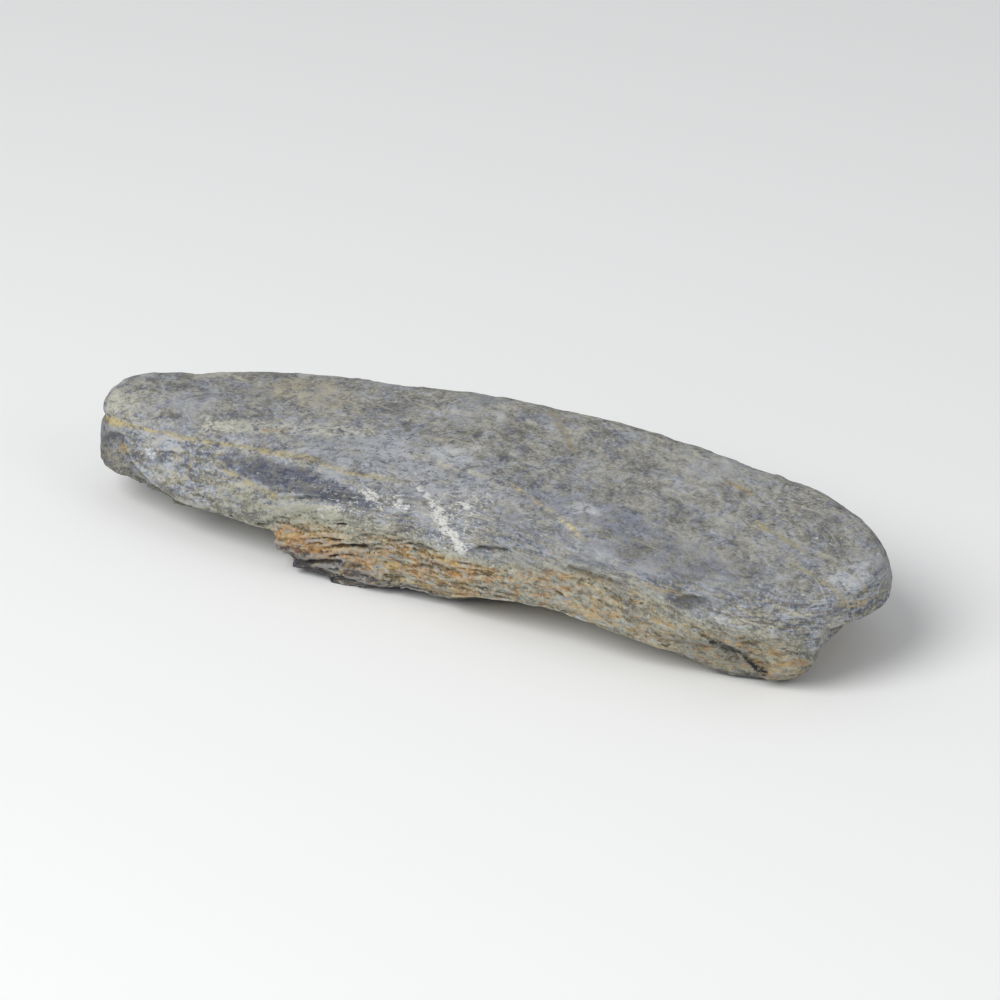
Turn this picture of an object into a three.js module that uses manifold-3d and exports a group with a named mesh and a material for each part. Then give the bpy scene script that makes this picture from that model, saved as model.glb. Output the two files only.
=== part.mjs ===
// A tumbled slate stone for an aquarium layout: one piece of rock, 240 mm long.
// It is a thick slab of bedded slate. Its corners are rounded off by tumbling, some
// of its lower beds have broken away at both ends, and it lies on its flat underside.
//
// Frame: millimetres, +Z up. X runs along the stone, -Y is its front side, and the
// origin is on the resting face, under the middle of the stone's bounding box.
import * as THREE from "three";
import { mergeVertices } from "three/addons/utils/BufferGeometryUtils.js";
import Module from "manifold-3d";

const wasm = await Module();
wasm.setup();

// ---- Driving dimensions ----------------------------------------------------
const LENGTH = 240; // end to end along X
const WIDTH = 82; // front to back along Y
const HEIGHT = 34; // resting face to the crown
const HEART = 16; // height of the point that the cleaved faces are measured from
const ROUNDNESS = 10; // how sharply neighbouring faces meet: higher is sharper
const DETAIL = 20; // subdivisions of the round body that is shaped into the stone

// The cleaved and worn faces that bound the stone. `bearing` is the direction a face
// looks in plan, counted from +X towards +Y, `lean` is how far it looks up, both in
// degrees, and `reach` is its distance from the heart.
const FACES = [
  { name: "crown", bearing: 270, lean: 88, reach: 17 },
  { name: "underside", bearing: 0, lean: -90, reach: 21 },
  { name: "front", bearing: 269, lean: 14, reach: 38 },
  { name: "front undercut", bearing: 275, lean: -34, reach: 38 },
  { name: "front shoulder", bearing: 266, lean: 50, reach: 33 },
  { name: "front left", bearing: 232, lean: 6, reach: 93 },
  { name: "front right", bearing: 308, lean: 2, reach: 94 },
  { name: "right end", bearing: 8, lean: 0, reach: 120 },
  { name: "back right", bearing: 62, lean: 14, reach: 68 },
  { name: "back", bearing: 90, lean: 14, reach: 38 },
  { name: "back left", bearing: 103, lean: 16, reach: 41.5 },
  { name: "back far left", bearing: 124, lean: 14, reach: 62 },
  { name: "left end", bearing: 184, lean: -6, reach: 127 },
];

// Slow swells left by wear: waves that run over the surface, each with its height in
// millimetres, its direction and pace in radians per millimetre, and its phase.
const SWELLS = [
  { height: 0.9, pace: [0.043, 0.032, 0], phase: 0.6 },
  { height: 0.5, pace: [0.077, -0.059, 0], phase: 2.1 },
  { height: 0.4, pace: [0.05, 0.085, 0], phase: 1.2 },
  { height: 0.5, pace: [0.111, 0, 0.167], phase: 1.3 },
];

// Beds that have broken away. Each lies between two heights and reaches from a ragged
// break line to past one end of the stone: side -1 is the left end, 1 the right.
// `front` and `back` are where the break line meets the two long sides.
const LOST_BEDS = [
  { side: -1, from: -4, to: 3, front: -27, back: -64, ragged: 2.5, phase: 0.4 },
  { side: -1, from: 2, to: 6.5, front: -37, back: -70, ragged: 2, phase: 2.2 },
  { side: -1, from: 5.5, to: 11.5, front: -38, back: -80, ragged: 3, phase: 4.1 },
  { side: -1, from: 11, to: 13.5, front: -80, back: -112, ragged: 3, phase: 0.9 },
  { side: 1, from: -4, to: 5, front: 119, back: 73, ragged: 1.2, phase: 1.1 },
  { side: 1, from: 4, to: 10, front: 119, back: 78, ragged: 1.5, phase: 3.0 },
  { side: 1, from: 9, to: 14, front: 118, back: 85, ragged: 1.5, phase: 5.2 },
  { side: 1, from: 13, to: 20, front: 120, back: 94, ragged: 1.2, phase: 2.6 },
];

// Shell-shaped scars where flakes have split off, each the dent of an ellipsoid.
const HOLLOWS = [
  { name: "arch under the front", centre: [44, -46, -4], size: [50, 32, 16] },
  { name: "low lip beside the arch", centre: [-4, -46, -4], size: [26, 32, 7.5] },
  { name: "seam in the left end", centre: [-126, -24, 21], size: [9, 16, 1.6] },
  { name: "chip in the lower edge", centre: [84, -38, 1], size: [7, 6, 5] },
];

const radians = THREE.MathUtils.degToRad;

// ---- Worn body -------------------------------------------------------------
const faces = FACES.map(({ bearing, lean, reach }) => {
  const flat = Math.cos(radians(lean));
  const normal = new THREE.Vector3(
    flat * Math.cos(radians(bearing)),
    flat * Math.sin(radians(bearing)),
    Math.sin(radians(lean)),
  );
  return { normal, reach };
});

// Distance from the heart to the surface along a unit direction. Each face alone would
// stop it at reach / cos, and the power sum blends the faces into one worn surface.
function distanceAlong(direction) {
  let sum = 0;
  for (const { normal, reach } of faces) {
    const facing = Math.max(0, normal.dot(direction)) / reach;
    sum += facing ** ROUNDNESS;
  }
  return sum ** (-1 / ROUNDNESS);
}

function swell(point) {
  let height = 0;
  for (const wave of SWELLS) {
    const [alongX, alongY, alongZ] = wave.pace;
    const angle = alongX * point.x + alongY * point.y + alongZ * point.z + wave.phase;
    height += wave.height * Math.sin(angle);
  }
  return height;
}

// A round body is stretched to the slab's proportions, which spreads its vertices
// evenly, and then each vertex is moved along its own direction onto the faces.
function wornBody() {
  const body = new THREE.IcosahedronGeometry(1, DETAIL);
  const proportions = new THREE.Vector3(LENGTH / 2, WIDTH / 2, HEIGHT / 2);
  const position = body.getAttribute("position");
  const point = new THREE.Vector3();
  for (let i = 0; i < position.count; i++) {
    const direction = point.fromBufferAttribute(position, i).multiply(proportions).normalize();
    const distance = distanceAlong(direction);
    point.copy(direction).multiplyScalar(distance);
    point.multiplyScalar(1 + swell(point) / distance);
    position.setXYZ(i, point.x, point.y, point.z + HEART);
  }
  return body;
}

// ---- What has broken away --------------------------------------------------
const PAST_THE_END = 160; // a lost bed's cutter ends outside the stone
const PAST_THE_SIDES = 60;
const BREAK_STEPS = 14; // points along a break line
const COARSE_RAG = 7; // how far apart the bights of a break line are, over 2 pi
const FINE_RAG = 3.1;

function lostBed({ side, from, to, front, back, ragged, phase }) {
  const outline = [];
  for (let i = 0; i <= BREAK_STEPS; i++) {
    const across = i / BREAK_STEPS;
    const y = THREE.MathUtils.lerp(-PAST_THE_SIDES, PAST_THE_SIDES, across);
    const wander = Math.sin(y / COARSE_RAG + phase) + 0.6 * Math.sin(y / FINE_RAG + 2 * phase);
    outline.push(new THREE.Vector2(THREE.MathUtils.lerp(front, back, across) + ragged * wander, y));
  }
  outline.push(new THREE.Vector2(side * PAST_THE_END, PAST_THE_SIDES));
  outline.push(new THREE.Vector2(side * PAST_THE_END, -PAST_THE_SIDES));
  const bed = new THREE.ExtrudeGeometry(new THREE.Shape(outline), {
    depth: to - from,
    bevelEnabled: false,
  });
  return bed.translate(0, 0, from);
}

function hollow({ centre, size }) {
  return new THREE.SphereGeometry(1, 28, 14).scale(...size).translate(...centre);
}

// Everything under the resting face is taken off, which leaves a flat to lie on.
function underResting() {
  return new THREE.BoxGeometry(2 * LENGTH, 2 * WIDTH, HEIGHT).translate(0, 0, -HEIGHT / 2);
}

// ---- Solids ----------------------------------------------------------------
function toSolid(geometry) {
  const bare = geometry.clone();
  bare.deleteAttribute("normal");
  bare.deleteAttribute("uv");
  const merged = mergeVertices(bare, 1e-3);
  return new wasm.Manifold(
    new wasm.Mesh({
      numProp: 3,
      vertProperties: new Float32Array(merged.getAttribute("position").array),
      triVerts: new Uint32Array(merged.index.array),
    }),
  );
}

function toGeometry(solid) {
  const mesh = solid.getMesh();
  const geometry = new THREE.BufferGeometry();
  geometry.setAttribute("position", new THREE.BufferAttribute(mesh.vertProperties, 3));
  geometry.setIndex(new THREE.BufferAttribute(mesh.triVerts, 1));
  return geometry;
}

// Trims the shape to the driving dimensions, and centres it over the resting face.
function toSize(geometry) {
  geometry.computeBoundingBox();
  const size = geometry.boundingBox.getSize(new THREE.Vector3());
  const middle = geometry.boundingBox.getCenter(new THREE.Vector3());
  geometry.translate(-middle.x, -middle.y, 0);
  geometry.scale(LENGTH / size.x, WIDTH / size.y, HEIGHT / size.z);
  geometry.computeVertexNormals();
  return geometry;
}

function stoneGeometry() {
  const losses = [...LOST_BEDS.map(lostBed), ...HOLLOWS.map(hollow), underResting()];
  let solid = toSolid(wornBody());
  for (const loss of losses) solid = solid.subtract(toSolid(loss));
  return toSize(toGeometry(solid));
}

// ---- Scene graph -----------------------------------------------------------
const slate = new THREE.MeshStandardMaterial({ color: 0x8b8c8a, roughness: 0.85, metalness: 0 });

const stone = new THREE.Mesh(stoneGeometry(), slate);
stone.name = "slate_stone";

const part = new THREE.Group();
part.add(stone);

export default part;
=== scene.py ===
# %% [markdown]
# # A slate stone for an aquarium layout
# The object is one piece of tumbled slate, a long slab that lies on its flat underside.
# Slate is mud pressed into thin beds, so nearly everything that is seen on it follows
# the beds: the steps where it broke, the cracks, and the colours that water left.
# This lesson loads the measured solid of the stone, works the beds into its surface
# with Geometry Nodes, and paints it with a material that reads the same beds.

# %% Load the measured stone
import math

import bmesh
import bpy
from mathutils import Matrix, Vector


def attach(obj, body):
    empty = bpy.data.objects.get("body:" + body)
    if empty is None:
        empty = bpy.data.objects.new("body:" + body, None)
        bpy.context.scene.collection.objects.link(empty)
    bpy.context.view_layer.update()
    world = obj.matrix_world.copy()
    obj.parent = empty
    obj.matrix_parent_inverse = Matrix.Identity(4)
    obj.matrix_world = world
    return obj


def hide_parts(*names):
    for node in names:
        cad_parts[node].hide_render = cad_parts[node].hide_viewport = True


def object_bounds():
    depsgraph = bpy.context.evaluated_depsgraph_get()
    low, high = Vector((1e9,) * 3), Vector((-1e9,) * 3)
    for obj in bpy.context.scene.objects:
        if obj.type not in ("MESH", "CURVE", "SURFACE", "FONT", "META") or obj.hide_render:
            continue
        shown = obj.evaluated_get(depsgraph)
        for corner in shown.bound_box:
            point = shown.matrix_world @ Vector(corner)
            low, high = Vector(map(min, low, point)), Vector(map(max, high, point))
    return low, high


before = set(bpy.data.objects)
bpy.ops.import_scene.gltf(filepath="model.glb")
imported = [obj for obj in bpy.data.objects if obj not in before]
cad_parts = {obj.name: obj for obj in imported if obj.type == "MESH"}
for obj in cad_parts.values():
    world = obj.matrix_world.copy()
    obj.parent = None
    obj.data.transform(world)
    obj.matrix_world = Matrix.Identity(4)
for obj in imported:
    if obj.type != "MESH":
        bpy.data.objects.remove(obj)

NODE = "slate_stone"
MM = 0.001  # one millimetre in metres

cad_low, cad_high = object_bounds()
length, width, height = cad_high - cad_low
middle = (cad_low + cad_high) / 2
print(f"stone {length / MM:.0f} x {width / MM:.0f} x {height / MM:.0f} mm")

# %% [markdown]
# ## The table and the light
# A stone shows its relief best in wide, soft light from one side with a weak light from
# the other. A picture of a room could light it too, but two lamps are easier to steer.
# The main one is an area lamp much larger than the stone, high on the left of the camera,
# because the size of a lamp sets how soft its shadows are. A pale world fills them. The
# table is a plain pale sheet. Everything is placed from the stone's own length, so it
# would suit another stone.

# %% Directions around the stone


def direction(azimuth, elevation):
    """Unit vector from the stone outwards. Azimuth 0 is its front, 90 its right end."""
    turn, lift = math.radians(azimuth), math.radians(elevation)
    flat = math.cos(lift)
    return Vector((math.sin(turn) * flat, -math.cos(turn) * flat, math.sin(lift)))


def aim(thing, azimuth, elevation, distance):
    """Puts a camera or lamp at a distance from the stone's middle, looking at it."""
    outwards = direction(azimuth, elevation)
    thing.location = middle + outwards * distance
    thing.rotation_mode = "QUATERNION"
    thing.rotation_quaternion = (-outwards).to_track_quat("-Z", "Y")
    bpy.context.scene.collection.objects.link(thing)


# %% Camera
VIEW_AZIMUTH, VIEW_ELEVATION = 32, 26  # degrees
LENS = 150  # a long lens, so that the near end isn't drawn larger than it is
STONE_SHARE = 0.79  # of the picture's width that the stone takes up
END_SHARE = 0.12  # of the stone's width that its round ends add to the length seen

camera = bpy.data.objects.new("camera", bpy.data.cameras.new("camera"))
camera.data.lens = LENS
seen_length = length * math.cos(math.radians(VIEW_AZIMUTH)) + END_SHARE * width
camera_distance = seen_length / STONE_SHARE * LENS / camera.data.sensor_width
aim(camera, VIEW_AZIMUTH, VIEW_ELEVATION, camera_distance)
bpy.context.scene.camera = camera
print(f"camera {camera_distance:.2f} m away")

# %% Lamps and world
LAMPS = {  # azimuth, elevation, distance and size in stone lengths, watts
    "key_light": (-14, 44, 7.0, 5.0, 22.0),
    "side_light": (80, 30, 7.0, 4.0, 3.0),
}
for name, (azimuth, elevation, distance, size, power) in LAMPS.items():
    lamp = bpy.data.lights.new(name, "AREA")
    lamp.shape = "DISK"
    lamp.size = size * length
    lamp.energy = power
    aim(bpy.data.objects.new(name, lamp), azimuth, elevation, distance * length)

ROOM_COLOUR = (0.95, 0.97, 1.0, 1)
ROOM_STRENGTH = 0.45
world = bpy.data.worlds.new("pale_room")
world.use_nodes = True
background = world.node_tree.nodes["Background"]
background.inputs["Color"].default_value = ROOM_COLOUR
background.inputs["Strength"].default_value = ROOM_STRENGTH
bpy.context.scene.world = world
bpy.context.scene.view_settings.view_transform = "Standard"
print(len(LAMPS), "lamps in a pale room")

# %% Table
TABLE_SIZE = 40 * length
PAPER_COLOUR = (0.88, 0.88, 0.87, 1)
PAPER_ROUGHNESS = 0.9

table_mesh = bpy.data.meshes.new("table")
corners = [(-1, -1), (1, -1), (1, 1), (-1, 1)]
half = TABLE_SIZE / 2
table_mesh.from_pydata([(x * half, y * half, 0) for x, y in corners], [], [(0, 1, 2, 3)])
table = bpy.data.objects.new("table", table_mesh)
table.location.z = cad_low.z
bpy.context.scene.collection.objects.link(table)

paper = bpy.data.materials.new("pale_paper")
paper.use_nodes = True
paper_shader = paper.node_tree.nodes["Principled BSDF"]
paper_shader.inputs["Base Color"].default_value = PAPER_COLOUR
paper_shader.inputs["Roughness"].default_value = PAPER_ROUGHNESS
table_mesh.materials.append(paper)
print(f"table {TABLE_SIZE:.1f} m wide")

# %% [markdown]
# ## The blank
# The measured solid has the stone's size and its big shapes, but its skin is made of
# triangles a few millimetres across. It could be smoothed by hand in sculpt mode, but a
# rule is easier to repeat. A copy is merged, the edges where beds have broken off are
# marked sharp, and a subdivision surface rounds the rest. A voxel remesh then gives
# small even faces all over, because fine relief needs something to move.

# %% Copy the solid and mark its broken edges
SHARP = math.radians(38)  # a bend between faces that is a break, not a worn corner
TOUCHING = 0.001 * MM  # vertices nearer to each other than this are one


def merged_copy(node, name):
    """A copy of a solid's mesh with its loose triangles joined into one skin."""
    mesh = bmesh.new()
    mesh.from_mesh(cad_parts[node].data)
    bmesh.ops.remove_doubles(mesh, verts=mesh.verts, dist=TOUCHING)
    crease = mesh.edges.layers.float.new("crease_edge")
    for edge in mesh.edges:
        edge[crease] = 1.0 if edge.calc_face_angle(0) > SHARP else 0.0
    sharp = sum(edge[crease] for edge in mesh.edges)
    copy = bpy.data.meshes.new(name)
    mesh.to_mesh(copy)
    print(f"{name}: {len(mesh.faces)} faces, {sharp:.0f} broken edges")
    mesh.free()
    return copy


stone = bpy.data.objects.new("stone", merged_copy(NODE, "stone_blank"))
bpy.context.scene.collection.objects.link(stone)

# %% Round and remesh
FACE_SIZE = 0.4 * MM  # size of the even faces

rounding = stone.modifiers.new("rounding", "SUBSURF")
rounding.levels = rounding.render_levels = 2
even = stone.modifiers.new("even_faces", "REMESH")
even.mode = "VOXEL"
even.voxel_size = FACE_SIZE
even.use_smooth_shade = True
print(f"blank: even faces of {FACE_SIZE / MM} mm")

# %% [markdown]
# ## A short way to write nodes
# Relief and colour are both sums of simple fields: heights, noises and masks that have
# a value at each point of the surface. Drawn by hand that is hundreds of nodes. Here a
# `Field` stands for one node's output, and `+`, `-` and `*` on fields add the nodes, so
# that a rule reads like a formula. The same helpers serve Geometry Nodes and materials,
# because both kinds of tree share their maths and noise nodes.

# %% Fields and their arithmetic


class Field:
    """The output of a node. Arithmetic on fields adds maths nodes to Field.tree."""

    tree = None

    def __init__(self, socket):
        self.socket = socket

    def __add__(self, other):
        return maths("ADD", self, other)

    def __sub__(self, other):
        return maths("SUBTRACT", self, other)

    def __rsub__(self, other):
        return maths("SUBTRACT", other, self)

    def __mul__(self, other):
        return maths("MULTIPLY", self, other)

    def __truediv__(self, other):
        return maths("DIVIDE", self, other)

    __radd__ = __add__
    __rmul__ = __mul__


# %% Making nodes and feeding them


def new_node(kind, **settings):
    """Adds a node to Field.tree and makes its settings."""
    node = Field.tree.nodes.new(kind)
    for name, value in settings.items():
        setattr(node, name, value)
    return node


def plug(value, socket):
    """Feeds a socket from a field, or sets it to a constant."""
    if isinstance(value, Field):
        Field.tree.links.new(value.socket, socket)
    else:
        socket.default_value = value


def maths(operation, *values):
    """One maths node: a vector one if any value is a vector, otherwise a plain one."""
    sockets = [value.socket for value in values if isinstance(value, Field)]
    if any(socket.type == "VECTOR" for socket in sockets):
        node = new_node("ShaderNodeVectorMath", operation=operation)
        values = [(value,) * 3 if isinstance(value, (int, float)) else value for value in values]
    else:
        node = new_node("ShaderNodeMath", operation=operation)
    for value, socket in zip(values, node.inputs):
        plug(value, socket)
    gives_number = operation in ("DOT_PRODUCT", "LENGTH")
    return Field(node.outputs["Value"] if gives_number else node.outputs[0])


def split(vector):
    """The three parts of a vector."""
    node = new_node("ShaderNodeSeparateXYZ")
    plug(vector, node.inputs[0])
    return [Field(output) for output in node.outputs]


def join(x, y, z):
    """A vector made from its three parts."""
    node = new_node("ShaderNodeCombineXYZ")
    for value, socket in zip((x, y, z), node.inputs):
        plug(value, socket)
    return Field(node.outputs[0])


# %% Soft steps and noise


def rise(value, low, high):
    """0 below low, 1 above high, and a soft step between."""
    node = new_node("ShaderNodeMapRange", interpolation_type="SMOOTHSTEP")
    for number, socket in zip((value, low, high), node.inputs):
        plug(number, socket)
    return Field(node.outputs[0])


def noise(place, size, detail=2.0, roughness=0.5, layer=None):
    """Smooth random field between 0 and 1, whose bumps are about `size` across."""
    node = new_node("ShaderNodeTexNoise")
    node.noise_dimensions = "3D" if layer is None else "4D"
    plug(place, node.inputs["Vector"])
    node.inputs["Scale"].default_value = 1 / size
    node.inputs["Detail"].default_value = detail
    node.inputs["Roughness"].default_value = roughness
    if layer is not None:
        plug(layer, node.inputs["W"])
    return Field(node.outputs[0])


def wander(place, size, reach, **settings):
    """Noise between about -reach and +reach."""
    return (noise(place, size, **settings) - 0.5) * (2 * reach)


# %% [markdown]
# ## The beds
# Every bed is a sheet that once lay flat. In this stone the beds are nearly level: they
# dip a little to the front, swing round towards the right end, and are gently folded.
# The lower ones also rise towards the middle of the stone and fall again to the right.
# They could be built as a stack of separate sheets, but a hundred thin sheets are hard to
# bend together. One number does the same: the bed height says which sheet a point belongs
# to. Relief and colour both read it, so a rusty layer sits in the same step that it
# stained. Places are in mm from the middle of the stone's underside, X along the stone.

# %% Bed height
DIP = 0.09  # how much the beds fall towards the front, in mm per mm
SWING = 0.45  # how much they turn to the front on the right half, in mm per mm
SWING_BEND = 20  # mm of length that the turn is spread over
DROOP_FROM = -17  # mm along X; from here to the left end the beds bend down
DROOP = 0.00065  # mm that they bend down per square mm from there
ARCH = 16  # mm that the lower beds rise from the left towards the middle
ARCH_RISES = (-70, 35)  # mm along X over which they rise
ARCH_FALL = 5  # mm that they fall again towards the right end
ARCH_FALLS = (42, 92)  # mm along X over which they fall
ARCH_FADES = (20, 37)  # mm of height over which the upper beds lie level again


def across_beds(x, y):
    """Distance across the streaks, from the front to the back, in mm."""
    bend = maths("SQRT", x * x + SWING_BEND**2)
    return y + (x + bend) * (SWING / 2)


def bed_height(place):
    """Which bed a point lies in: its height in mm, as if the beds were level."""
    x, y, z = split(place)
    past = maths("MINIMUM", x - DROOP_FROM, 0)
    folds = wander(place, 70, 2.0, detail=0.0) + wander(place, 16, 0.6)
    arch = ARCH * rise(x, *ARCH_RISES) - ARCH_FALL * rise(x, *ARCH_FALLS)
    folds = folds - arch * (1 - rise(z, *ARCH_FADES))
    return z + across_beds(x, y) * DIP + past * past * DROOP + folds


print(f"the lower beds rise {ARCH} mm to the middle and fall {ARCH_FALL} mm after it")

# %% [markdown]
# ## Relief in Geometry Nodes
# A quarryman would say that slate breaks in two ways: along a bed it leaves smooth
# terraces, and across the beds it leaves a stack of thin steps. The tree makes both.
# It could be a bump in the material, but a bump has no outline and casts no shadow, and
# the mesh has to be true from all sides. It could be sculpted too, but the rule is the
# same all round the stone, and a tree of nodes can be changed at any time. The sizes are
# named inputs, so the same tree could work a coarser or a finer stone.

# %% Start the tree
RELIEF_SIZES = {  # name of the input: its value, in mm
    "bed_thickness": 4.4,
    "leaf_thickness": 1.3,
    "worn_step": 0.75,
    "broken_step": 1.2,
    "crack_depth": 1.8,
    "flake_thickness": 0.55,
}
RELIEF_SEED = 11.0

relief = bpy.data.node_groups.new("bedded_relief", "GeometryNodeTree")
relief.interface.new_socket("Geometry", in_out="INPUT", socket_type="NodeSocketGeometry")
relief.interface.new_socket("Geometry", in_out="OUTPUT", socket_type="NodeSocketGeometry")
size_sockets = {}
for name in [*RELIEF_SIZES, "seed"]:
    size_sockets[name] = relief.interface.new_socket(
        name, in_out="INPUT", socket_type="NodeSocketFloat"
    )
Field.tree = relief
given = new_node("NodeGroupInput")
inputs = {name: Field(given.outputs[name]) for name in size_sockets}
print("sizes of the relief, mm:", RELIEF_SIZES)

# %% Ways to soften and to measure a place


def blur(value, times):
    """Averages a field with its neighbours' values, a number of times."""
    kind = "FLOAT_VECTOR" if value.socket.type == "VECTOR" else "FLOAT"
    node = new_node("GeometryNodeBlurAttribute", data_type=kind)
    plug(value, node.inputs["Value"])
    node.inputs["Iterations"].default_value = times
    return Field(node.outputs["Value"])


def from_middle(place, middle, half_sizes):
    """Distance from the middle of an oval, as a share of the way to its rim."""
    return maths("LENGTH", (place - join(*middle)) * join(*[1 / half for half in half_sizes]))


# %% Where a point is, and which way it looks
# The place and the direction are blurred first, so that the relief follows the stone's
# own shape and not the facets of the blank. The broken front left stays crisper, and the
# foot of the right end is worn quite round.
TOE = (107.0, -28.0)  # the foot of the right end, in plan

place = Field(new_node("GeometryNodeInputPosition").outputs[0]) * (1 / MM)
x, y, z = split(place)
crisp = (1 - rise(x, -5, 40)) * (1 - rise(y, -20, 0)) * (1 - rise(z, 14, 20))
place = place + (blur(place, 16) - place) * (1 - 0.4 * crisp)
worn_toe = 1 - rise(from_middle(place, (*TOE, 6.0), (17, 15, 14)), 0.4, 1.0)
place = place + (blur(place, 40) - place) * worn_toe
bed = bed_height(place)
facing = blur(Field(new_node("GeometryNodeInputNormal").outputs[0]), 40)
facing = maths("NORMALIZE", facing)
out_x, out_y, up = split(facing)
outwards = join(out_x, out_y, 0.0)
level = maths("ABSOLUTE", up)
side = 1 - rise(level, 0.55, 0.9)
top = rise(up, 0.5, 0.9)
under = rise(up * -1, 0.35, 0.8)
print("places and directions:", len(relief.nodes), "nodes so far")

# %% [markdown]
# ## The stained band
# Water has crept into the lower beds, so a stained band runs round the lower part of the
# sides, up to a height that changes along the stone. Its left half in front is freshly
# broken, and the right half is worn smooth. It could be painted in the material alone,
# but then the relief wouldn't know of it. As a field it serves both: the tree leaves
# rough steps in it, and the material stains the same steps.

# %% How deep in the band a point is
BAND_TOP = 12  # mm above the table, at the left end
BAND_CLIMBS = [  # mm that the top of the band climbs by, and from where to where along X
    (7.5, -58, -34),
    (-1.2, -15, 15),
    (6.5, 15, 52),
    (-7.0, 58, 90),
    (-16.0, 106, 116),
]


def band_depth(place):
    """How far a point lies below the top of the stained band, in mm."""
    x, y, z = split(place)
    top_here = BAND_TOP
    for climb, start, end in BAND_CLIMBS:
        top_here = top_here + climb * rise(x, start, end)
    return top_here + wander(place, 9, 1.8, detail=4.0, roughness=0.6) - z


# %% The broken part of the band
depth = band_depth(place)
band = rise(depth, -0.8, 0.8)
behind = rise(y, -15, 5)
fresh_front = 1 - 0.75 * rise(x, 8, 60)
fresh_behind = rise(noise(place, 55, detail=1.0), 0.42, 0.56)
broken = band * (fresh_front + behind * (fresh_behind - fresh_front))
print("band:", len(relief.nodes), "nodes so far")

# %% [markdown]
# ## Steps and cracks
# Across its beds slate breaks into a stack of thin steps, and some beds have parted and
# left a crack. Cutting each step by hand would take days. Here the bed height is rounded
# down, which gives each bed a number. The number picks a random pattern of plates, and
# each plate is drawn in by its own amount. The same rule runs twice, for the beds and for
# the thin leaves inside them.

# %% Random value for each plate of a bed


def cells(place, size, layer):
    """Random value between 0 and 1 that is constant within each angular cell."""
    node = new_node("ShaderNodeTexVoronoi", voronoi_dimensions="4D")
    plug(place, node.inputs["Vector"])
    plug(layer, node.inputs["W"])
    node.inputs["Scale"].default_value = 1 / size
    return split(Field(node.outputs["Color"]))[0]


# %% Beds and leaves
LAYER_GAP = 5.3  # between the random patterns of neighbouring layers


def layer_steps(thickness, plate_size):
    """Number of the layer at a point, how far it is drawn in there (0 to 1), and the
    distance from its border in shares of its thickness."""
    uneven = bed + wander(join(0.0, 0.0, bed), 5, 1.3) + wander(place, 9, 0.8, detail=4.0)
    count = uneven / thickness + inputs["seed"]
    layer = maths("FLOOR", count)
    within = count - layer
    in_plan = place * join(0.6, 1.0, 0.0) + wander(place, 5, 1.8, detail=3.0)
    plates = cells(in_plan, plate_size, layer=layer * LAYER_GAP)
    return layer, maths("POWER", plates, 1.5), maths("MINIMUM", within, 1 - within)


bed_layer, bed_step, bed_border = layer_steps(inputs["bed_thickness"], 15)
leaf_layer, leaf_step, leaf_border = layer_steps(inputs["leaf_thickness"], 6)

BED_SHARE, LEAF_SHARE = 0.75, 0.4  # of a step, that a bed and a leaf are drawn in by
SET_BACK = 0.4  # mm that the broken part lies behind the rest
step_size = inputs["worn_step"] + broken * (inputs["broken_step"] - inputs["worn_step"])
drawn_in = step_size * (BED_SHARE * bed_step + LEAF_SHARE * leaf_step) + broken * SET_BACK

# %% Cracks between beds
open_here = noise(place * join(1.0, 1.0, 0.4), 12, detail=2.0, layer=bed_layer * 1.9)
crack = (1 - rise(bed_border, 0.04, 0.14)) * rise(open_here + broken * 0.03, 0.62, 0.7)
thin_here = noise(place * join(1.0, 1.0, 0.4), 7, detail=2.0, layer=leaf_layer * 2.3)
thin = (1 - rise(leaf_border, 0.05, 0.3)) * rise(thin_here + broken * 0.04, 0.62, 0.72)
drawn_in = drawn_in + inputs["crack_depth"] * (crack + 0.3 * thin)
print("steps and cracks:", len(relief.nodes), "nodes so far")

# %% [markdown]
# ## Flakes, chips and wear
# Along its beds slate splits into flat flakes, so the top and the underside are low
# terraces. Corners are chipped, and tumbling has pitted and rounded what was left. A
# sculptor's brush could do all of that, but a rule also covers the back and the
# underside. Noise rounded down to whole numbers gives terraces, and plain noise gives
# the rest.

# %% Flakes off the top and the underside
flake_rise = noise(place * join(1.0, 1.4, 0.5), 42, detail=4.0, roughness=0.5) * 9
flake_level = maths("FLOOR", flake_rise)
flake_edge = rise(flake_rise - flake_level, 0.0, 0.12)
flakes = maths("MINIMUM", flake_level + flake_edge - 5, 1.0) * inputs["flake_thickness"]
under_lift = maths("MAXIMUM", flakes * -1 - 0.2, 0.0) * under * 1.3

# A long thin flake has split off the top in front of this line, which runs from the
# middle of the stone down to its front edge.
LONG_FLAKE = 0.4  # mm thick
flake_line = y + 15 + 0.1 * maths("MAXIMUM", x + 10, 0.0)
flake_line = flake_line + 0.4 * maths("MAXIMUM", x - 16, 0.0)
flake_line = flake_line + wander(place, 6, 1.4, detail=5.0, roughness=0.6)
along_line = rise(x, -27, -18) * (1 - rise(x, 40, 52))
flakes = flakes - LONG_FLAKE * along_line * (1 - rise(flake_line, -0.5, 0.5))

# %% Chips and general wear
# A point that stands out from the places round it is on a corner, and corners chip.
PIT_DEPTH = 0.35  # mm
bulge = maths("DOT_PRODUCT", place - blur(place, 60), facing)
on_corner = rise(bulge, 0.05, 0.45)
chip_depth = 1.1 + (1 - 0.6 * rise(x, 30, 60)) * (1 - rise(z, 5, 13))
chip = rise(noise(place, 9, detail=3.0), 0.5, 0.7) * on_corner * chip_depth
swell = wander(place, 30, 0.8) + wander(place, 8, 0.7, detail=5.0, roughness=0.6)
grainy = wander(place * join(0.7, 1.0, 1.5), 2.6, 0.5, detail=4.0, roughness=0.65)
leafy = wander(place * join(0.4, 0.5, 1.6), 1.7, 1.0, detail=3.0, roughness=0.65)
grainy = grainy + leafy * (0.2 + 0.8 * broken) * side
pits = rise(noise(place, 4, detail=3.0), 0.66, 0.74) * PIT_DEPTH
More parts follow.
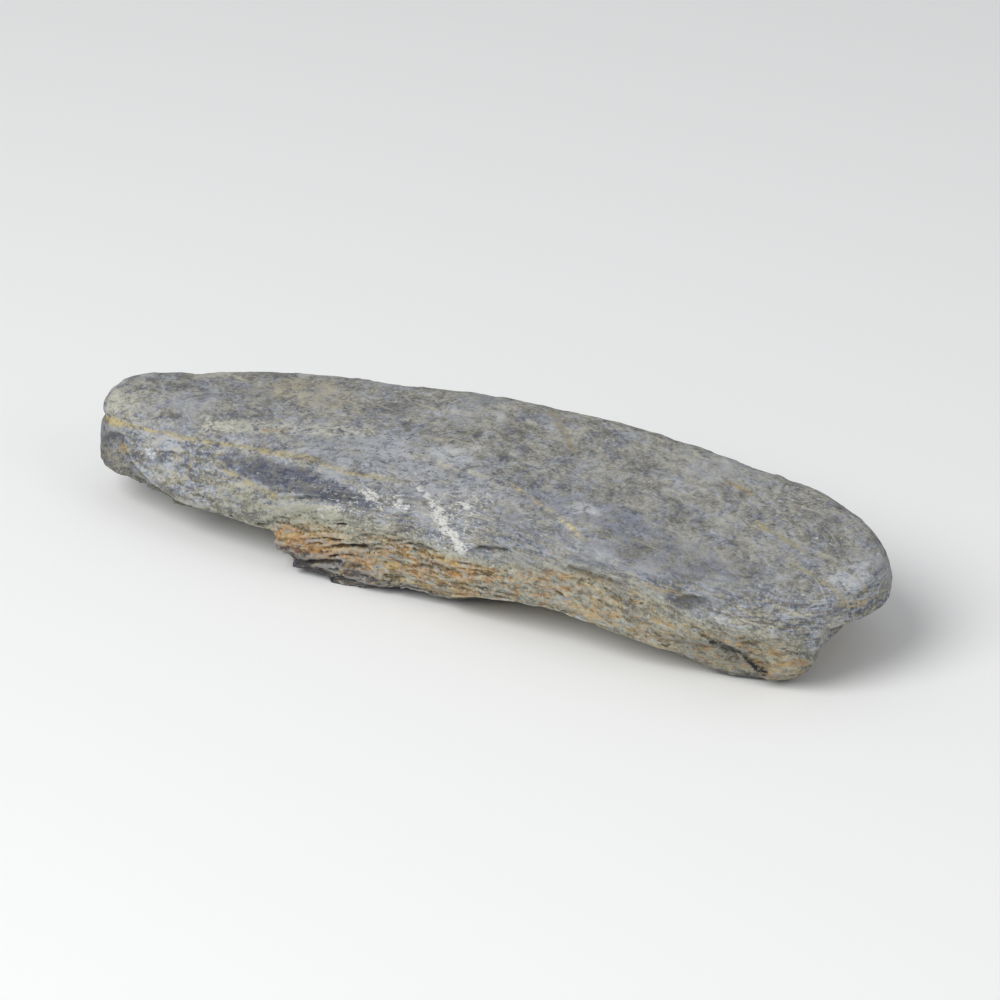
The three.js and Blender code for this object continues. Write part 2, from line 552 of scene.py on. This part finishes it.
print("flakes, chips and wear:", len(relief.nodes), "nodes so far")

# %% [markdown]
# ## Dents in their places
# Some marks make this one stone: cracks on the left shoulder, a pit near the right end, a
# bed below it that ends in a crooked edge, and a seam round the left end. Noise alone
# wouldn't put them there, and cutting them with boolean tools would leave clean walls. So
# most of them are ovals with a ragged rim, in a list that is easy to add to, and the long
# ones are bounded by a crooked line.

# %% Ragged ovals


def patch(place, middle, half_sizes):
    """1 in the middle of an oval patch and 0 outside it, with a ragged rim."""
    ragged = from_middle(place, middle, half_sizes)
    ragged = ragged + wander(place, 3, 0.7, detail=5.0, roughness=0.65)
    return 1 - rise(ragged, 0.5, 1.0)


# %% Single dents
DENT_SLOPE = 0.2  # mm per mm that the dents rise to the right
DENTS = {  # name: middle and half sizes of the hollow, and its depth, in mm
    "open_crack": ((-34, -36, 23.0), (16, 8, 0.9), 1.4),
    "upper_crack": ((-28, -36, 25.4), (12, 8, 0.7), 1.0),
    "lens_crack": ((-24, -39, 12.6), (7, 8, 0.9), 1.8),
    "low_crack": ((-32, -40, 7.0), (7, 8, 0.8), 1.6),
    "long_crack": ((20, -37, 23.0), (7, 8, 0.8), 1.5),
    "pit": ((80, -38, 24.0), (5.5, 8, 2.2), 1.2),
    "split_corner": ((90, -35, 12.0), (4.5, 8, 2.0), 1.2),
}
dents = 0
for middle_point, half_sizes, dent_depth in DENTS.values():
    sloping = place - join(0.0, 0.0, (x - middle_point[0]) * DENT_SLOPE)
    dents = dents + patch(sloping, middle_point, half_sizes) * dent_depth
print(len(DENTS), "dents in their places")

# %% The lap
# The lap is a bed that ends in a crooked edge low on the right, over a lower one.
LAP_DEPTH = 2.8  # mm
lap_edge = x - 90 + 0.9 * (z - 12.4) + wander(place, 5, 1.6, detail=4.0)
under_lap = (1 - rise(lap_edge, -0.4, 0.4)) * rise(x, 62, 86) * (1 - rise(z, 11.0, 13.0))
dents = dents + LAP_DEPTH * under_lap * (1 - behind)

# %% The seam and the lower plate at the left end
SEAM_HEIGHT = 30.1  # mm above the table at its crest, from which it droops as the beds do
SEAM_DEPTH = 1.5  # mm
PLATE_THICKNESS = 1.1  # mm
END_SWELL = 1.3  # mm that the tip of the left end stands out again

seam_height = SEAM_HEIGHT - DROOP * (x - DROOP_FROM) * (x - DROOP_FROM)
at_left_end = 1 - rise(x, -106, -88)
seam_reach = at_left_end * (1 - 0.8 * rise(y, -12, 12)) * rise(noise(place, 14), 0.3, 0.5)
seam = (1 - rise(maths("ABSOLUTE", z - seam_height), 0.4, 1.9)) * seam_reach
plate_fall = maths("MAXIMUM", 23.5 - z, 0) * 0.1
plate_edge = 22 * plate_fall * plate_fall - 104
below_plate = (1 - rise(x - plate_edge, -0.8, 0.8)) * (1 - rise(z, 22, 24)) * (1 - behind)
dents = dents + SEAM_DEPTH * seam + PLATE_THICKNESS * below_plate
dents = dents - END_SWELL * (1 - rise(x, -114, -98))

# %% [markdown]
# ## Moving the skin
# All the amounts are added up, and each point moves once: level on the sides, and along
# its own direction on the flats. A Displace modifier moves every point along its normal,
# and in narrow cracks the normals cross, so a Set Position node does it here. Last, a
# short blur wears the skin down, all but the freshly broken band.

# %% Add up the relief
SKIN = 0.3  # mm taken off all over, so that what stands out stays inside the solid
breaks = (drawn_in * side + chip) * (1 - 0.7 * worn_toe)
inward = breaks + pits + dents + SKIN - swell * 0.5 - grainy
shift = outwards * (inward * side) + facing * (inward * (1 - side))
flake_shift = join(0.0, 0.0, flakes * top * 0.8 + under_lift)

# %% Let the low edges hang down
# Relief takes more off an edge than off a face, so three low edges hang down again, and
# the toe, the corner of the right end's foot, is drawn in and up. All amounts are in mm.
left_lobe = (1 - rise(x, -84, -66)) * (1 - rise(z, 15, 24))
broken_foot = rise(x, -50, -44) * (1 - rise(x, -16, -6)) * (1 - rise(z, 4, 10))
right_foot = rise(x, 40, 58) * rise(z, 0.0, 3.2) * (1 - rise(z, 6, 15)) * (1 - behind)
hanging = join(0.0, 0.0, -2.2 * left_lobe - 1.4 * broken_foot - 1.8 * right_foot)
to_corner = from_middle(place, (*TOE, 0.0), (14, 13, 9))
toe = join(-2.2, 1.7, 1.8) * (1 - rise(to_corner, 0.1, 1.0))
moved = place - shift + flake_shift + hanging + toe

NO_BOUND = -1000.0  # X and Y may be anything, and Z stays above the table
moved = maths("MAXIMUM", moved, join(NO_BOUND, NO_BOUND, 0.0))

# %% Keep what the material needs, and move the points


def geometry_step(kind, geometry, **settings):
    """Adds a node that the mesh flows through."""
    node = new_node(kind, **settings)
    relief.links.new(geometry, node.inputs["Geometry"])
    return node


def store(geometry, name, value):
    """Keeps a field on the mesh's points, for the material to read."""
    node = geometry_step("GeometryNodeStoreNamedAttribute", geometry, data_type="FLOAT")
    node.inputs["Name"].default_value = name
    plug(value, node.inputs["Value"])
    return node.outputs["Geometry"]


blank = given.outputs["Geometry"]
KEPT_FIELDS = {
    "bed": bed,
    "band_depth": depth,
    "broken": broken,
    "side": side,
    "plate": leaf_step,
    "flake_line": flake_line,
    "below_plate": below_plate,
}
for name, value in KEPT_FIELDS.items():
    blank = store(blank, name, value)
print("kept on the mesh:", ", ".join(KEPT_FIELDS))
shape = geometry_step("GeometryNodeSetPosition", blank)
plug(moved * MM, shape.inputs["Position"])

# %% Wear it smooth, and note the hollows
wear = Field(new_node("GeometryNodeInputNamedAttribute").outputs[0])
wear.socket.node.inputs["Name"].default_value = "broken"
here = Field(new_node("GeometryNodeInputPosition").outputs[0])
worn = here + (blur(here, 3) - here) * (1 - 0.85 * wear)
smooth = geometry_step("GeometryNodeSetPosition", shape.outputs["Geometry"])
plug(worn, smooth.inputs["Position"])

there = Field(new_node("GeometryNodeInputPosition").outputs[0])
normal = Field(new_node("GeometryNodeInputNormal").outputs[0])
fine_hollow = maths("DOT_PRODUCT", blur(there, 6) - there, normal) * (1 / MM)
finished = store(smooth.outputs["Geometry"], "fine_hollow", fine_hollow)

# %% End the tree
realize = geometry_step("GeometryNodeRealizeInstances", finished)
slate = bpy.data.materials.new("slate")
paint = geometry_step("GeometryNodeSetMaterial", realize.outputs["Geometry"])
paint.inputs["Material"].default_value = slate
result = new_node("NodeGroupOutput")
relief.links.new(paint.outputs["Geometry"], result.inputs["Geometry"])
print("relief tree:", len(relief.nodes), "nodes")

# %% [markdown]
# ## Working the stone
# The tree is now a modifier on the blank. The object could keep it, but a plain mesh is
# what a printer or another program can use, so the result is taken out of the modifiers.
# A Decimate modifier then thins it: flat places lose most of their faces, and the steps
# keep theirs.

# %% Work the stone
TRIANGLE_LIMIT = 192000  # for the finished skin

working = stone.modifiers.new("relief", "NODES")
working.node_group = relief
for name, value in {**RELIEF_SIZES, "seed": RELIEF_SEED}.items():
    working[size_sockets[name].identifier] = value


def finish_mesh(piece):
    """Replaces a piece's mesh by what its modifiers make of it, removes them, and says how
    many triangles the mesh has."""
    depsgraph = bpy.context.evaluated_depsgraph_get()
    done = bpy.data.meshes.new_from_object(
        piece.evaluated_get(depsgraph), preserve_all_data_layers=True, depsgraph=depsgraph
    )
    piece.modifiers.clear()
    piece.data = done
    return sum(len(face.vertices) - 2 for face in done.polygons)


triangles = finish_mesh(stone)
thin_out = stone.modifiers.new("thin_out", "DECIMATE")
thin_out.ratio = min(1.0, TRIANGLE_LIMIT / triangles)
print("triangles:", triangles, "thinned to", finish_mesh(stone))
stone.data.shade_smooth()

# %% [markdown]
# ## Slate
# The colours of slate come in layers too. The top beds of this stone are a warm grey and
# the ones under them blue-grey, with a greenish grey below. Rust has crept in from the
# broken edge, along the leaves. Over that lie things that ignore the beds: white calcite
# in old cracks, scratches, the wear that leaves ridges pale, and painted shade in the
# hollows, the cracks and along the lowest edge.
# It could be painted on an image, but a rule needs no unwrapping, and it covers the back
# and the underside as well. The material lays the colours over each other in the order
# in which they came to the stone.

# %% Colour helpers


def colour(code):
    """Linear colour from a six-digit code such as 8f8e86."""
    parts = [int(code[i : i + 2], 16) / 255 for i in (0, 2, 4)]
    return (*[p / 12.92 if p <= 0.04045 else ((p + 0.055) / 1.055) ** 2.4 for p in parts], 1)


def blend(under_colour, over_colour, share):
    """Lays one colour over another, by a share between 0 and 1."""
    node = new_node("ShaderNodeMix", data_type="RGBA")
    plug(share, node.inputs[0])
    plug(under_colour, node.inputs[6])
    plug(over_colour, node.inputs[7])
    return Field(node.outputs[2])


def saturate(tinted, amount):
    """Makes a colour stronger, or paler where the amount is below 1."""
    node = new_node("ShaderNodeHueSaturation")
    plug(tinted, node.inputs["Color"])
    plug(amount, node.inputs["Saturation"])
    return Field(node.outputs[0])


def stored(name):
    """A field that the relief tree left on the mesh."""
    return Field(new_node("ShaderNodeAttribute", attribute_name=name).outputs["Fac"])


# %% Start the material
slate.use_nodes = True
Field.tree = slate.node_tree
shader = slate.node_tree.nodes["Principled BSDF"]

place = Field(new_node("ShaderNodeTexCoord").outputs["Object"]) * (1 / MM)
x, y, z = split(place)
bed = stored("bed")
depth = stored("band_depth")
broken = stored("broken")
side = stored("side")
plate = stored("plate")
flake_line = stored("flake_line")
fine_hollow = stored("fine_hollow")

# %% [markdown]
# ## Grey beds
# The grey of slate is never even: from near it is dashes and grains, drawn out along the
# beds. One noise would look like clouds, so three are added up, from patches of 6 mm to
# grains of 1 mm, in coordinates that are stretched along the beds. Their sum is the tone,
# which picks a grey between a dark and a pale one. That is done for a cool and for a warm
# grey, and another noise says which of the two shows.

# %% Patches, dashes and grain
across = across_beds(x, y)
wave = wander(place, 12, 1.6, detail=3.0)
drawn_out = join(x * 0.52, across * 0.5, bed * 1.5) + wave
patches = noise(drawn_out, 6, detail=6.0, roughness=0.62)
dashes = noise(drawn_out + 40.0, 1.6, detail=4.0, roughness=0.66)
grain = noise(place, 0.95, detail=3.0, roughness=0.75)
tone = patches * (0.32 + 0.06 * side) + dashes * (0.34 - 0.04 * side) + grain * 0.33
print("tone:", len(slate.node_tree.nodes), "nodes so far")

# %% Cool and warm greys
tone_share = rise(tone, 0.374 + 0.046 * side, 0.614 - 0.014 * side)
cool_grey = blend(colour("4b505d"), colour("a3a8b1"), tone_share)
warm_grey = blend(colour("625f53"), colour("aca897"), tone_share)
level_here = bed + wander(drawn_out, 5, 3.0, detail=4.0) + wander(place, 45, 6.0)
warmth = noise(drawn_out + 17.0, 2.1, detail=5.0, roughness=0.68)
warmth = warmth * 0.72 + noise(drawn_out + 9.0, 7, detail=5.0, roughness=0.7) * 0.28
warmth = warmth + 0.05 * rise(level_here, 27.0, 33.0) - 0.03 * rise(level_here, 18.0, 24.0)
stone_colour = blend(cool_grey, warm_grey, rise(warmth, 0.44, 0.54))
stone_colour = saturate(stone_colour, 0.54 + 0.36 * side)

# %% Clouds and dashes


def leaf_marks(place, size, low, high, detail=5.0):
    """1 in thin broken marks along the leaves, and 0 between them."""
    return rise(noise(place, size, detail=detail, roughness=0.7), low, high)


clouds = noise(place * join(0.6, 0.5, 1.2) + 5.0, 11, detail=5.0, roughness=0.6)
dark_dash = leaf_marks(drawn_out + 63.0, 1.8, 0.55, 0.64)
pale_dash = leaf_marks(drawn_out + 85.0, 1.4, 0.57, 0.66)
stone_colour = blend(stone_colour, colour("a5a8ae"), rise(clouds, 0.54, 0.66) * 0.38)
stone_colour = blend(stone_colour, colour("555763"), (1 - rise(clouds, 0.36, 0.47)) * 0.28)
stone_colour = blend(stone_colour, colour("4a4d56"), dark_dash * (0.24 + 0.5 * side))
stone_colour = blend(stone_colour, colour("b7b9ba"), pale_dash * (0.4 + 0.1 * side))
tan_dash = leaf_marks(drawn_out + 127.0, 1.5, 0.6, 0.68)
stone_colour = blend(stone_colour, colour("a3956c"), tan_dash * (0.15 + 0.45 * side))

# %% Scratches
SCRATCHES = [  # degrees that they are turned from the stone's length, colour, strength
    (-8, "b5af97", 0.5),
    (-38, "b3b4b1", 0.35),
    (33, "adaea9", 0.3),
]


def scratches(turn, seed):
    """Long thin marks on the top, which run at an angle to the stone's length."""
    cosine, sine = math.cos(math.radians(turn)), math.sin(math.radians(turn))
    along, aside = x * cosine + y * sine, y * cosine - x * sine
    lines = noise(join(along * 0.08, aside * 0.8, seed) + wave * 0.12, 1.0, detail=3.0)
    return rise(lines, 0.63, 0.71) * (1 - side)


for turn, code, strength in SCRATCHES:
    marks = scratches(turn, turn * 1.7)
    stone_colour = blend(stone_colour, colour(code), marks * strength)
print("greys:", len(slate.node_tree.nodes), "nodes so far")

# %% [markdown]
# ## Stains in the band
# In the band the grey turns greenish, and iron has coloured its leaves ochre, rust and
# umber. One ramp of browns would be simpler, but it would put the same colours side by
# side everywhere. So each colour has its own noise along the leaves, cut off sharply,
# because a stain ends where its leaf ends.

# %% Greenish ground, ochre and rust
green_grey = blend(colour("505048"), colour("aaa998"), rise(tone, 0.37, 0.63))
stone_colour = blend(stone_colour, green_grey, rise(depth, -4.0, 0.5) * 0.85)
stone_colour = blend(stone_colour, colour("b3a278"), tan_dash * rise(depth, -6.0, -1.0) * 0.5)
stripes = join(x * 0.3, across * 0.4, depth * 0.9) + wave * 0.6
stained_from = 2.5 - 2.5 * rise(x, -25, 5)  # mm below the top of the band
in_band = rise(depth - stained_from, -1.5, 1.5)
fresh = broken * 0.5 + 0.5
stain = 0.02 - 0.045 * rise(x, -22, 30)  # the left half took up more of it
blotches = wander(stripes, 4.5, 0.2, detail=3.0, roughness=0.6)
ochre = blend(colour("514022"), colour("b59b6a"), rise(tone, 0.39, 0.63))
rust = blend(colour("58391f"), colour("b08754"), rise(tone, 0.38, 0.62))
ochre_noise = noise(stripes, 1.3, detail=5.0, roughness=0.7) * 0.85 + 0.15 * patches
ochre_share = rise(ochre_noise + 0.06 * plate + stain + blotches, 0.49, 0.57) * in_band * fresh
stone_colour = blend(stone_colour, ochre, ochre_share * 0.9)
rusty_part = fresh * in_band * (1 - 0.7 * rise(depth, 10.0, 14.0))
rust_noise = noise(stripes + 31.0, 1.4, detail=6.0, roughness=0.75) * 0.8
rust_noise = rust_noise + 0.2 * noise(stripes + 77.0, 6, detail=2.0) - 0.05 * plate
rust_share = rise(rust_noise + stain + 0.6 * blotches, 0.48, 0.56) * rusty_part
stone_colour = blend(stone_colour, rust, rust_share * 0.9)

# %% Umber, cream, orange and bare leaves
umber_share = leaf_marks(stripes + 12.0, 1.7, 0.56, 0.65) * in_band
cream_share = leaf_marks(stripes + 55.0, 1.3, 0.58, 0.67) * in_band
orange_share = leaf_marks(stripes + 140.0, 1.2, 0.58, 0.66, detail=4.0)
orange_share = orange_share * in_band * (1 - 0.6 * rise(depth, 10.0, 14.0))
stone_colour = blend(stone_colour, colour("b08a4c"), orange_share * 0.65)
stone_colour = blend(stone_colour, colour("3f3a2f"), umber_share * 0.85)
stone_colour = blend(stone_colour, colour("c3b895"), cream_share * 0.55)
bare_share = leaf_marks(stripes + 91.0, 1.8, 0.56, 0.64) * in_band
stone_colour = blend(stone_colour, colour("8b9098"), bare_share * 0.6)
print("stains:", len(slate.node_tree.nodes), "nodes so far")

# %% [markdown]
# ## Marks in their places
# Some colours belong to this one stone, as the dents do: the ochre seam, the line where a
# flake came off, and single spots and streaks. A few of the spots and streaks are painted
# shade, in cracks, in the pit and under an overhang. They could be painted by hand, but
# here each is an oval or a line in a list, and the grain shows through it, because a
# clean shape would look like paint. The lists are short: the renderer can keep only so
# many values at once, and with a few more marks the stone would come out black.

# %% Marks that the grain shows through


def through_grain(low, high):
    """Between 0 and 1 with the grain of the stone, which breaks a mark up."""
    return rise(dashes + grain, low, high)


# %% The ochre seam
SEAM_FRONT = 30  # mm from the middle to the front, where the seam is at its height

ragged = wander(drawn_out, 4, 0.9, detail=5.0, roughness=0.7) + wander(place, 1.3, 0.5)
seam_gap = z + DIP * (y + SEAM_FRONT) + DROOP * (x - DROOP_FROM) * (x - DROOP_FROM)
seam_gap = seam_gap - SEAM_HEIGHT + ragged
near_front = 1 - 0.85 * rise(y, -16, 8)
seam_width = 0.3 + 0.8 * (1 - rise(x, -114, -100)) * near_front
seam_share = 1 - rise(maths("ABSOLUTE", seam_gap) - seam_width, -0.4, 0.6)
seam_share = seam_share * (1 - rise(x, -20, -8)) * through_grain(0.78, 1.05)
seam_share = seam_share * (1 - 0.7 * rise(y, -20, 6))
seam_colour = blend(colour("766942"), colour("baaa73"), rise(tone, 0.38, 0.62))
stone_colour = blend(stone_colour, seam_colour, seam_share * (0.55 + 0.4 * dashes))

# %% The line where a flake came off
line_gap = maths("ABSOLUTE", flake_line + wander(place, 1.5, 0.5))
line_share = (1 - rise(line_gap, 0.2, 1.1)) * (1 - side)
line_share = line_share * rise(x, -27, -20) * (1 - rise(x, 40, 50))
line_share = line_share * through_grain(0.86, 1.16) * (0.6 + 0.4 * rise(x, 4, 20))
line_colour = blend(colour("857650"), colour("c3b48a"), rise(tone, 0.4, 0.6))
stone_colour = blend(stone_colour, line_colour, line_share)

# %% Single patches of colour
SPOTS = {  # name: middle and half sizes in mm, colour, strength
    "cream_corner": ((-109, -23, 28.5), (9, 7, 3.5), "b8b5a2", 0.7),
    "white_dot": ((-92, -34, 21.5), (2.6, 3, 1.8), "ccd0d8", 0.8),
    "ochre_dot": ((-103, -32, 19.5), (2.6, 4, 2.2), "b99a52", 0.9),
    # The dark patch on the left shoulder is its own dark blue-grey, with painted shade over the
    # cracks in it.
    "shoulder_and_crack_shade": ((-42, -34, 25.5), (34, 8, 3.6), "454857", 1.1),
    "pale_flake": ((-28, -13, 33), (11, 12, 4), "a9adb3", 0.85),
    "pale_middle": ((-18, -19, 32), (44, 15, 7), "a9abaf", 0.4),
    "dark_lap": ((70, -29, 28), (36, 13, 8), "4e515c", 0.4),
    "blue_middle": ((42, -20, 31.5), (28, 9, 5), "74798c", 0.45),
    "warm_back": ((-62, 3, 32), (20, 10, 6), "aca387", 0.6),
    "pale_net": ((-9, -10, 32.5), (9, 6, 4), "bcbec0", 0.6),
    "grey_shoulder": ((20, -34, 26), (54, 10, 8), "5b5d65", 0.3),
    "pale_drop": ((38, -20, 32.5), (6, 4, 3), "c0c2c4", 0.6),
    "green_shoulder": ((-45, -38, 18), (32, 6, 4.5), "9a9a87", 0.6),
    # The dark patch on the pit is painted shade in the hollow.
    "pit_shade": ((79, -38, 24), (8, 6, 3.2), "33353f", 0.8),
    "pale_below_pit": ((89, -37, 21.5), (3, 5, 1.6), "b8bab8", 0.55),
    "pale_tip": ((113, -13, 30), (6, 10, 4), "bcc0c6", 0.7),
    "rust_dot": ((107, -29, 10.5), (3, 4, 2.2), "96713f", 0.6),
}
for spot_middle, spot_size, code, strength in SPOTS.values():
    share = patch(place, spot_middle, spot_size) * strength * through_grain(0.7, 1.18)
    stone_colour = blend(stone_colour, colour(code), share)
# Painted shade in the recess below the plate at the left end.
stone_colour = blend(stone_colour, colour("46443f"), stored("below_plate") * 0.45)
print(len(SPOTS), "spots in their places")

# %% Lines between two points
DEPTH_COUNTS = {"top": (1, 1, 0.3), "side": (1, 0.3, 1)}  # so that a bend can't lose a line


def streak(place, face, start, end, half_width):
    """1 along the line between two points, and 0 further than half_width from it. The
    line lies on the top or on a long side, so how deep a point is hardly counts."""
    squash = Vector(DEPTH_COUNTS[face])
    start, end = Vector(start) * squash, Vector(end) * squash
    along = join(*(end - start).normalized())
    offset = place * join(*squash) - join(*start)
    reach = maths("MAXIMUM", maths("DOT_PRODUCT", offset, along), 0.0)
    reach = maths("MINIMUM", reach, (end - start).length)
    gap = maths("LENGTH", offset - along * reach)
    return 1 - rise(gap, 0.35 * half_width, half_width)


# %% Single streaks of colour
STREAKS = {  # name: face, the two ends and the half width in mm, colour, strength
    "cream_shoulder": ("top", (-76, -26, 31), (-38, -8, 32), 4.5, "b8b6a8", 0.95),
    "orange_mark": ("top", (-62, -21, 31.5), (-57, -18, 32), 1.3, "a5854e", 0.6),
    "second_vein": ("side", (-67, -36, 23.5), (-48, -37, 21), 1.0, "a39766", 0.7),
    "pale_arc": ("top", (-5, -6, 33.5), (-9, 16, 34), 1.5, "acaeac", 0.6),
    "ochre_crown": ("top", (-2, 28, 33), (18, 8, 34), 1.6, "938461", 0.6),
    "orange_end": ("top", (62, 14, 33), (71, 10, 33), 1.0, "a18a4e", 0.7),
    "long_ochre": ("top", (80, -3, 32.5), (98, -10, 32), 1.1, "9c9168", 0.7),
    "tip_ochre": ("top", (98, -18, 31.5), (115, -21, 27.5), 1.0, "a3966c", 0.75),
    "far_ochre": ("top", (103, -10, 31.5), (117, -13, 28), 1.0, "a3966c", 0.65),
    "end_ochre": ("side", (113, -21, 26.5), (119, -14, 24), 1.0, "ad9a72", 0.8),
    "rust_line": ("side", (45, -39, 25.3), (61, -39, 24.8), 1.1, "453a26", 0.9),
    "rust_over": ("side", (47, -39, 24.2), (58, -39, 23.8), 0.9, "a0824a", 0.5),
    "orange_line": ("side", (67, -38, 26), (79, -38, 25), 1.0, "a38a52", 0.55),
    # The notch is painted shadow: a dark line where a bed overhangs the split corner.
    "notch_shadow": ("side", (87, -35, 13.2), (97, -31, 6.2), 2.6, "201f1f", 2.2),
}
bent = place + wander(place, 6, 1.1, detail=4.0, roughness=0.6)
for face, start, end, half_width, code, strength in STREAKS.values():
    share = streak(bent, face, start, end, half_width) * strength
    share = share * through_grain(0.85, 1.15)
    stone_colour = blend(stone_colour, colour(code), share)
print(len(STREAKS), "streaks in their places")

# %% [markdown]
# ## Calcite
# White calcite has healed the old cracks. The vein crosses the beds, and each leaf slid a
# little after it formed, so it runs in small jogs. It could be modelled as a thin sheet
# set into the stone, but it is flush with the surface, so colour is enough: a few short
# streaks in coordinates that jump from leaf to leaf, and flecks that crowd round them.

# %% Calcite
CALCITE = {  # the vein and the blobs on it: face, two ends and the half width, in mm
    "upper_vein": ("top", (-9, -27, 31), (3, -33, 28.5), 1.1),
    "middle_blob": ("side", (1, -34, 27.5), (5, -36, 25), 2.0),
    "lower_vein": ("side", (4, -36, 25.5), (12, -38, 21), 1.5),
    "right_blob": ("top", (6, -29, 30), (9, -30, 29.5), 1.3),
    "left_blob": ("side", (-11, -33, 27), (-8, -34, 26.5), 1.1),
    "far_blob": ("side", (-22, -33, 27.5), (-18, -34, 26.5), 1.2),
}
VEIN_MIDDLE = (-2.0, -33.0, 27.0)  # the flecks crowd round this point
jogs = wander(join(0.0, 0.0, bed), 1.0, 1.6)  # each leaf slid a little
crooked = place + wander(place, 3.5, 1.9, detail=5.0, roughness=0.65) + join(jogs, 0.0, 0.0)
vein = 0
for face, start, end, half_width in CALCITE.values():
    vein = maths("MAXIMUM", vein, streak(crooked, face, start, end, half_width))
from_vein = maths("LENGTH", place - join(*VEIN_MIDDLE))
crowd = noise(place, 24, detail=3.0) + 0.24 * (1 - rise(from_vein, 6, 36)) - 0.08 * broken
flecks = noise(drawn_out * 1.5 + 23.0, 1.2, detail=3.0, roughness=0.65) + crowd * 0.35
specks = noise(place + 51.0, 1.3, detail=3.0, roughness=0.65) + crowd * 0.35
stone_colour = blend(stone_colour, colour("cacbca"), rise(flecks, 0.83, 0.91) * 0.65)
stone_colour = blend(stone_colour, colour("c9c7bd"), rise(specks, 0.86, 0.93) * 0.6)
vein = vein * through_grain(0.84, 1.05)
stone_colour = blend(stone_colour, colour("cccbc6"), vein * 0.85)
print("calcite in", len(CALCITE), "streaks")

# %% [markdown]
# ## Dark leaves, painted shade, wear and grain
# The lowest leaves are dark, painted shade darkens the lowest edge and the hollows, and
# wear has left ridges pale. The renderer's own pointiness changes with the size of the
# faces, so the tree has left on the mesh how deep each point lies between its
# neighbours, in mm. The grain is finer than the mesh, so it is a bump, and the paler
# patches are rougher.

# %% Dark lowest leaves, and painted shade along the lowest edge
# Under the broken part the lowest leaves are a dark indigo. All round, the lowest edge
# is darkened with painted shade, where the stone meets the table.
dark_up_to = 1.5 + 7.0 * broken * (1 - rise(x, -34, 18))
dark_leaves_and_edge_shade = 1 - rise(z + wander(drawn_out, 4, 2.0, detail=3.0) - dark_up_to, -1.5, 1.5)
dark_leaves_and_edge_shade = dark_leaves_and_edge_shade * (1 - 0.7 * rise(dashes, 0.5, 0.62))
stone_colour = blend(stone_colour, colour("3d3f4b"), dark_leaves_and_edge_shade * 0.75)

# %% Wear, and painted shade in the hollows
stone_colour = blend(stone_colour, colour("b6b6b0"), rise(fine_hollow * -1, 0.02, 0.16) * 0.3)
# The hollows are darkened with painted shade, by how deep each point lies.
painted_hollow_shade = rise(fine_hollow, 0.05, 0.25) * (0.4 + 0.3 * side)
stone_colour = blend(stone_colour, colour("2c2a28"), painted_hollow_shade)

# %% Colour and roughness
SMOOTHEST = 0.62  # roughness of the darkest patches
SPECULAR = 0.35
plug(stone_colour, shader.inputs["Base Color"])
plug(SMOOTHEST + 0.3 * patches, shader.inputs["Roughness"])
shader.inputs["Specular IOR Level"].default_value = SPECULAR

# %% Fine bump
GRAIN_HEIGHT = 0.25 * MM
GRAIN_STRENGTH = 0.7
bump = new_node("ShaderNodeBump")
bump.inputs["Strength"].default_value = GRAIN_STRENGTH
bump.inputs["Distance"].default_value = GRAIN_HEIGHT
plug(dashes * 0.9 + grain * 0.6, bump.inputs["Height"])
plug(Field(bump.outputs["Normal"]), shader.inputs["Normal"])
print("slate:", len(slate.node_tree.nodes), "nodes")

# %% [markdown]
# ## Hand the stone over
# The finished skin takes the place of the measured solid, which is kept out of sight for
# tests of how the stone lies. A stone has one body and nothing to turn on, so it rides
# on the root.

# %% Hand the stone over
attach(stone, "root")
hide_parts(NODE)
